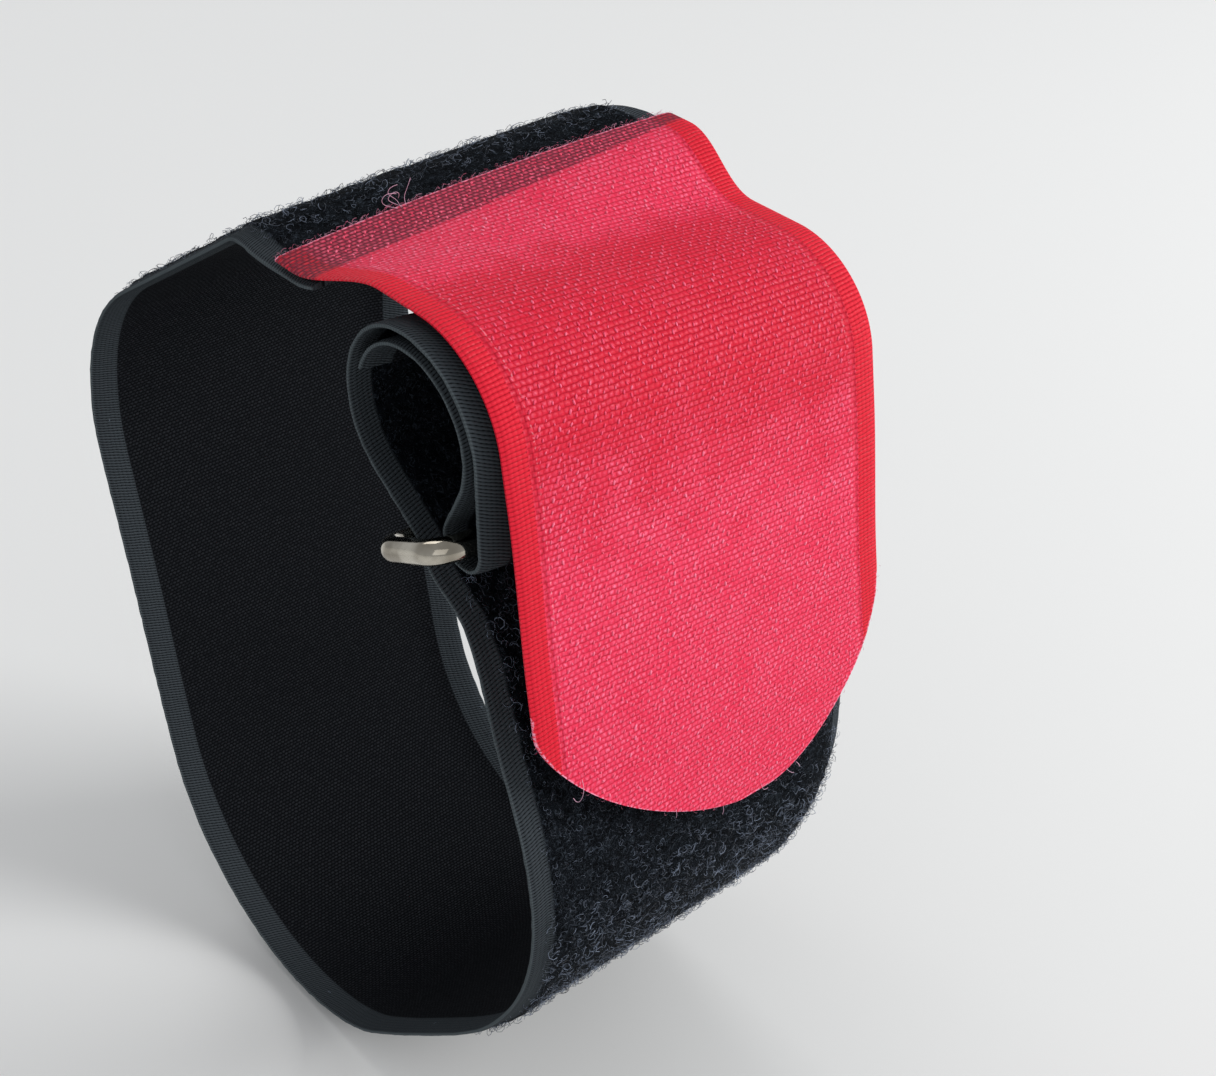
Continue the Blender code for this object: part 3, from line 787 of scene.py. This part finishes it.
def makePile():
    rng = np.random.default_rng(7)
    kinds = [makeCurl(pile["radius"] * mm, pile["thick"] * mm, math.radians(sweep), drift * mm, steps)
             for sweep, drift, steps in pile["kinds"]]
    begin = toBar + 1
    left, right = -fieldEdge - pile["over"], fieldEdge + pile["overTurned"]
    n = int((weldEdge - begin) * (right - left) * pile["perSquareMm"])
    x = rng.uniform(left, right, n)
    s = rng.uniform(begin, weldEdge - 0.8, n)
    # fibres hang over the right selvedge where that edge turns back
    turned = ramp(edgeCurl(half, s + pile["overEarly"]), 0.2, 1.2)
    limit = fieldEdge + pile["over"] + (pile["overTurned"] - pile["over"]) * turned
    x = np.where(x > limit, x - rng.uniform(0.1, 1, n) * 2 * fieldEdge, x)
    # nothing shows between the two tapes, except close to the edges of the tab
    tabS = tab["length"] - (underTip - s)
    left, right = tipEdges(np.clip(tabS, 0, tab["length"]))
    seen = pile["seen"] + pile["seenOpen"] * ramp(s - onFront, *pile["openTo"])
    covered = (s > onFront - 6) & (tabS < tab["length"] - 1.2) & (x > left + seen) & (x < right - seen)
    thinned = (s > underTip + pile["thinnedFrom"]) & (rng.random(n) < pile["thinned"])
    x, s = x[~covered & ~thinned], s[~covered & ~thinned]
    n = len(x)
    tall = pileHeight(s)
    height = halfLoop + pile["rooted"] * tall * ramp(-abs(x), -fieldEdge - 1.7, -fieldEdge - 0.7)
    height = height - edgeCurl(x, s) + underSag(x, s)
    place, across, along, out = tapeAxes(strapRoute, -1, x, s, height, strapShift)
    yaw = rng.uniform(0, 2 * math.pi, n)
    lean = np.radians(rng.uniform(*pile["lean"], n)) * rng.choice([-1, 1], n)
    right, forward, up = standOn(across, along, out, yaw, lean)
    size = rng.uniform(*pile["size"], n) * np.clip(tall / tape["pileFree"], 0.35, 1)
    # each fibre's shade is a random tone, and its lighter end is painted sheen
    shade = np.clip(rng.beta(*pile["shade"], n) * (1 + 0.3 * softNoise(x, s, 2.0, 23)), 0, 1)
    spots = {"kind": rng.choice(len(kinds), n, p=pile["shares"]), "place": place, "right": right,
             "forward": forward, "up": up, "size": size, "shade": shade}
    limits = [begin + (weldEdge - begin) * share for share in pile["zones"].values()] + [strapLength]
    made = []
    for name, low, high in zip(pile["zones"], limits, limits[1:]):
        here = {key: values[(s >= low) & (s < high)] for key, values in spots.items()}
        made.append(scatter(name, kinds, here, pileMaterial))
    return made


pilePieces = makePile()
print("pile made")


# The hook filaments: their roots show as small floats on the back, their hooks stand on the inner side
roots = {"bead": (0.16, 0.33, 0.08), "shown": 0.85, "wander": (0.11, 0.06), "yaw": (0.25, 0.35),
         "size": (0.55, 1.15), "sunk": 0.02, "shade": (0.9, 1.8), "darkest": 0.15, "range": 0.75, "darkFold": 0.45,
         "fold": (5.0, 2.0), "darkPaintedShade": 0.35, "paintedShadeIn": (10.0, 20.0), "paintedShadeOut": (38.0, 52.0),
         "fromBorder": 0.8, "fromCut": 0.4}
hooks = {"wire": 0.15, "stem": 0.30, "bend": 0.24, "turn": 195.0, "bendSteps": 4, "rowStep": 2,
         "from": 7.5, "to": 47.0, "yaw": 0.25, "lean": 0.12, "size": (0.9, 1.05), "sunk": 0.02}


def rootGrid(rowStep):
    # staggered places of the roots, in flat coordinates with the weave's slope
    rows = np.arange(1, int((tab["length"] + 2) / redLook["row"]), rowStep)
    edge = half - redLook["selvedgeWidth"] - roots["fromBorder"]
    columns = np.arange(-int(edge / redLook["rootColumn"]) - 1, int(edge / redLook["rootColumn"]) + 2)
    row, column = (grid.ravel() for grid in np.meshgrid(rows, columns, indexing="ij"))
    x = (column + 0.5 * (row // rowStep % 2) + 0.25) * redLook["rootColumn"]
    s = (row + 0.5) * redLook["row"] - weaveSlope(x, (row + 0.5) * redLook["row"])
    left, right = tipEdges(np.clip(s, 0, tab["length"]))
    gap = roots["fromCut"]
    keep = (abs(x) < edge) & (x > left + gap) & (x < right - gap) & (s > 0.5) & (s < tab["length"] - gap)
    return x[keep], s[keep]


def makeRoots():
    # one flattened bead, copied to every root
    deselect()
    bpy.ops.mesh.primitive_uv_sphere_add(segments=5, ring_count=3, radius=0.5 * mm, location=(0, 0, 0))
    verts, faces = takeMesh(bpy.context.object)
    rng = np.random.default_rng(31)
    x, s = rootGrid(1)
    shown = rng.random(len(x)) < roots["shown"]
    x, s = x[shown], s[shown]
    n = len(x)
    x, s = x + rng.normal(0, roots["wander"][0], n), s + rng.normal(0, roots["wander"][1], n)
    place, across, along, up = tapeAxes(tabRoute, 1, x, s, -halfHook - roots["sunk"], tabDrift)
    right, forward, up = standOn(across, along, -up, rng.normal(*roots["yaw"], n), np.zeros(n))
    # darker near the joint, where the tapes are welded, and painted shade over the same middle stretch of the front
    # as the tape's painted shade
    shade = roots["darkest"] + roots["range"] * rng.beta(*roots["shade"], n)
    shade = shade * (1 - roots["darkFold"] * ramp(s, *roots["fold"]))
    shade = shade * (1 - roots["darkPaintedShade"] * between(s, 0, roots["paintedShadeIn"], 0, roots["paintedShadeOut"]))
    spots = {"kind": np.zeros(n, int), "place": place, "right": right, "forward": forward, "up": up,
             "size": rng.uniform(*roots["size"], n), "shade": shade}
    kinds = [(verts * 2 * np.array(roots["bead"]), faces)]
    return scatter("hook_roots", kinds, spots, rootMaterial)


def makeHooks():
    # a stem and a bent end, from one small profile
    deselect()
    bpy.ops.mesh.primitive_circle_add(vertices=4, radius=hooks["wire"] / 2 * mm, fill_type="NGON", location=(0, 0, 0))
    editAll()
    bpy.ops.mesh.extrude_region_move(TRANSFORM_OT_translate={"value": (0, 0, hooks["stem"] * mm)})
    bpy.ops.mesh.spin(steps=hooks["bendSteps"], angle=math.radians(hooks["turn"]),
                      center=(hooks["bend"] * mm, 0, hooks["stem"] * mm), axis=(0, 1, 0))
    bpy.ops.object.mode_set(mode="OBJECT")
    closeMesh(mergeWithin=0.001 * mm)
    kinds = [takeMesh(bpy.context.object)]
    rng = np.random.default_rng(37)
    x, s = rootGrid(hooks["rowStep"])
    free = (s > hooks["from"]) & (s < hooks["to"])
    x, s = x[free], s[free]
    n = len(x)
    place, across, along, up = tapeAxes(tabRoute, 1, x, s, halfHook - hooks["sunk"], tabDrift)
    yaw = math.pi / 2 + math.pi * (rng.random(n) < 0.5) + rng.normal(0, hooks["yaw"], n)
    right, forward, up = standOn(across, along, up, yaw, rng.normal(0, hooks["lean"], n))
    spots = {"kind": np.zeros(n, int), "place": place, "right": right, "forward": forward, "up": up,
             "size": rng.uniform(*hooks["size"], n), "shade": rng.random(n)}
    return scatter("hooks", kinds, spots, hookMaterial)


# Loose filaments along the cut edges of the hook tape
frays = {"thick": 0.07, "radius": 0.8, "kinds": ((50, 2), (100, 3)), "jointPerMm": 8.0, "tipPerMm": 0.7,
         "tipRound": 90.0, "jointSize": (0.25, 0.75), "tipSize": (0.15, 0.5), "jointAim": 0.7, "tipAim": 0.5,
         "start": (-0.1, 0.3), "depth": (-0.2, 0.15), "rise": (-0.1, 0.6), "out": 0.35, "shade": (1.2, 1.8)}


def makeFrays():
    rng = np.random.default_rng(41)
    kinds = [makeCurl(frays["radius"] * mm, frays["thick"] * mm, math.radians(sweep), 0, steps)
             for sweep, steps in frays["kinds"]]
    n = int(tape["width"] * frays["jointPerMm"])
    xJoint, sJoint = rng.uniform(-half, half, n), rng.uniform(*frays["start"], n)
    aimJoint = -math.pi / 2 + rng.normal(0, frays["jointAim"], n)
    m = int(frays["tipRound"] * frays["tipPerMm"])
    fromTip = (tab["length"] - tipStart) * (1 - np.sin(rng.uniform(0.02, 0.995, m) * math.pi / 2))
    sTip = tab["length"] - fromTip - 0.1
    leftSide = rng.random(m) < 0.5
    left, right = tipEdges(sTip)
    leftNext, rightNext = tipEdges(sTip - 0.3)
    xTip = np.where(leftSide, left, right)
    slope = np.where(leftSide, leftNext - left, rightNext - right) / -0.3
    aimTip = np.where(leftSide, np.arctan2(slope, -1.0), np.arctan2(-slope, 1.0))
    aimTip = aimTip + rng.normal(0, frays["tipAim"], m)
    x, s = np.concatenate([xJoint, xTip]), np.concatenate([sJoint, sTip])
    aim, count = np.concatenate([aimJoint, aimTip]), n + m
    size = np.concatenate([rng.uniform(*frays["jointSize"], n), rng.uniform(*frays["tipSize"], m)])
    place, across, along, up = tapeAxes(tabRoute, 1, x, s, rng.uniform(*frays["depth"], count), tabDrift)
    rise = rng.uniform(*frays["rise"], count)[:, None]
    pointing = unit((across * np.cos(aim)[:, None] + along * np.sin(aim)[:, None]) * np.cos(rise) - up * np.sin(rise))
    bend = unit(np.cross(pointing, unit(rng.normal(0, 1, (count, 3)))))
    place = place + pointing * (size * frays["out"] * mm)[:, None]
    spots = {"kind": rng.choice(2, count), "place": place, "right": pointing, "forward": np.cross(bend, pointing),
             "up": bend, "size": size, "shade": rng.beta(*frays["shade"], count)}
    return scatter("frayed_ends", kinds, spots, frayMaterial)


# Single loose filaments: x, s and lift over the hook tape, in millimetres
threads = {"thick": 0.055, "paths": [
    [(-9.6, 0.5, 0.0), (-9.5, 0.0, 0.5), (-9.4, -0.1, 1.1), (-9.0, -0.2, 1.8), (-8.6, -0.3, 2.7)],
    [(-10.2, 0.5, 0.0), (-10.3, -0.1, 0.7), (-10.9, -0.2, 1.3), (-11.5, -0.3, 2.0), (-11.0, -0.4, 2.6),
     (-10.2, -0.4, 2.5)],
    [(-10.6, 0.4, 0.0), (-11.3, -0.1, 0.3), (-12.1, -0.3, 0.9), (-12.2, -0.4, 1.6), (-11.3, -0.4, 2.0),
     (-10.4, -0.3, 1.5)],
    [(-10.0, 0.4, 0.0), (-10.8, -0.3, 0.5), (-11.6, -0.5, 1.3), (-10.7, -0.5, 1.9), (-9.9, -0.4, 1.4),
     (-10.2, -0.3, 0.9)],
    [(-20.3, 78.3, -0.1), (-20.4, 79.0, 0.3), (-20.5, 80.0, 0.3), (-20.9, 80.9, 0.1), (-21.4, 80.8, -0.1),
     (-21.6, 80.2, -0.1)],
    [(-8.0, 88.6, 0.0), (-8.0, 89.2, 0.2), (-8.1, 89.7, 0.1)],
    [(-0.9, 92.2, 0.0), (-0.9, 92.9, 0.2), (-1.1, 93.3, 0.1)],
    [(5.0, 92.2, 0.0), (5.1, 92.9, 0.2), (5.5, 93.4, 0.2), (5.9, 93.2, 0.3)],
    [(9.2, 92.4, 0.0), (9.6, 93.1, 0.2), (10.2, 93.4, 0.2)],
    [(10.6, 92.0, 0.0), (11.1, 92.6, 0.2), (11.2, 93.1, 0.1)]]}


def makeThreads():
    curve = bpy.data.curves.new("loose_filaments", "CURVE")
    curve.dimensions = "3D"
    curve.bevel_depth = threads["thick"] / 2 * mm
    curve.bevel_resolution = 0
    curve.resolution_u = 4
    curve.use_fill_caps = True
    for path in threads["paths"]:
        x, s, lift = np.array(path).T
        line = curve.splines.new("NURBS")
        line.points.add(len(path) - 1)
        line.order_u = 3
        line.use_endpoint_u = True
        for point, place in zip(line.points, layTape(tabRoute, 1, x, s, -halfHook - lift)):
            point.co = (*place, 1)
    made = meshFromCurve(curve)
    closeMesh(mergeWithin=0.002 * mm)
    made.data.attributes.new("shade", "FLOAT", "POINT").data.foreach_set("value", [0.9] * len(made.data.vertices))
    made.data.materials.append(frayMaterial)
    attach(made, "tie")
    return made


tabPieces = [makeRoots(), makeHooks(), makeFrays(), makeThreads()]
print("hooks, their roots and frayed ends made")


def makeRing():
    bend = wire["corner"] + wire["thick"] / 2
    reach = half + wire["sidePlay"] + bend
    corners = [(reach - bend, bend, -90), (reach - bend, barPitch - bend, 0),
               (bend - reach, barPitch - bend, 90), (bend - reach, bend, 180)]
    curve = bpy.data.curves.new("wire_ring", "CURVE")
    curve.dimensions = "3D"
    curve.bevel_depth = wire["thick"] / 2 * mm
    curve.bevel_resolution = wire["roundness"]
    line = curve.splines.new("POLY")
    points = []
    for x, y, start in corners:
        for step in range(wire["cornerSteps"] + 1):
            angle = math.radians(start + 90 * step / wire["cornerSteps"])
            points.append((x + bend * math.cos(angle), y + bend * math.sin(angle)))
    line.points.add(len(points) - 1)
    line.use_cyclic_u = True
    for point, (x, y) in zip(line.points, points):
        point.co = (x * mm, y * mm, 0, 1)
    turn = math.atan(lie["frontSkew"] / tape["width"])
    made = meshFromCurve(curve, settle(np.array(choke["shift"]), np.array(eye[0]), np.array(eye[1])),
                         (-dip, math.radians(choke["tilt"]), -turn))
    bpy.ops.object.transform_apply(location=True, rotation=True, scale=True)
    bpy.ops.object.shade_smooth()
    made.data.materials.append(nickelMaterial)
    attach(made, "ring")
    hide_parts("ring")


makeRing()
print("ring made")

tipSteps = np.linspace(0, tab["length"], 400)
tabArea = float(np.trapz(np.subtract(*tipEdges(tipSteps)[::-1]), tipSteps)) * mm * mm

# Plain pale floor and soft studio light
studio = {"floor": 3.0, "floorDrop": 0.0002, "floorColour": (0.80, 0.80, 0.79, 1), "floorRoughness": 0.7,
          "world": 0.50, "worldColour": (0.95, 0.97, 1.0, 1), "aim": (0.0, -0.02, -0.04),
          "lights": {"key": ((0.74, -0.56, 0.36), 0.50, 8.6), "fill": ((-0.65, -0.45, 0.30), 0.6, 0.7),
                     "back": ((0.1, 0.75, 0.7), 0.6, 2.4)}}
deselect()
bpy.ops.mesh.primitive_plane_add(size=studio["floor"], location=(0, 0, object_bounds()[0][2] - studio["floorDrop"]))
floor = bpy.context.object
floor.name = "floor"
floorLook = {"Roughness": studio["floorRoughness"], "Base Color": studio["floorColour"]}
floor.data.materials.append(newMaterial("paleFloor", floorLook)[0])
world = bpy.data.worlds.new("studio")
scene.world = world
world.use_nodes = True
background = world.node_tree.nodes["Background"].inputs
background[0].default_value = studio["worldColour"]
background[1].default_value = studio["world"]
for name, (place, size, energy) in studio["lights"].items():
    aim = (Vector(studio["aim"]) - Vector(place)).to_track_quat("-Z", "Y").to_euler()
    bpy.ops.object.light_add(type="AREA", location=place, rotation=aim)
    light = bpy.context.object
    light.name = name
    light.data.size = size
    light.data.energy = energy
print("studio set")
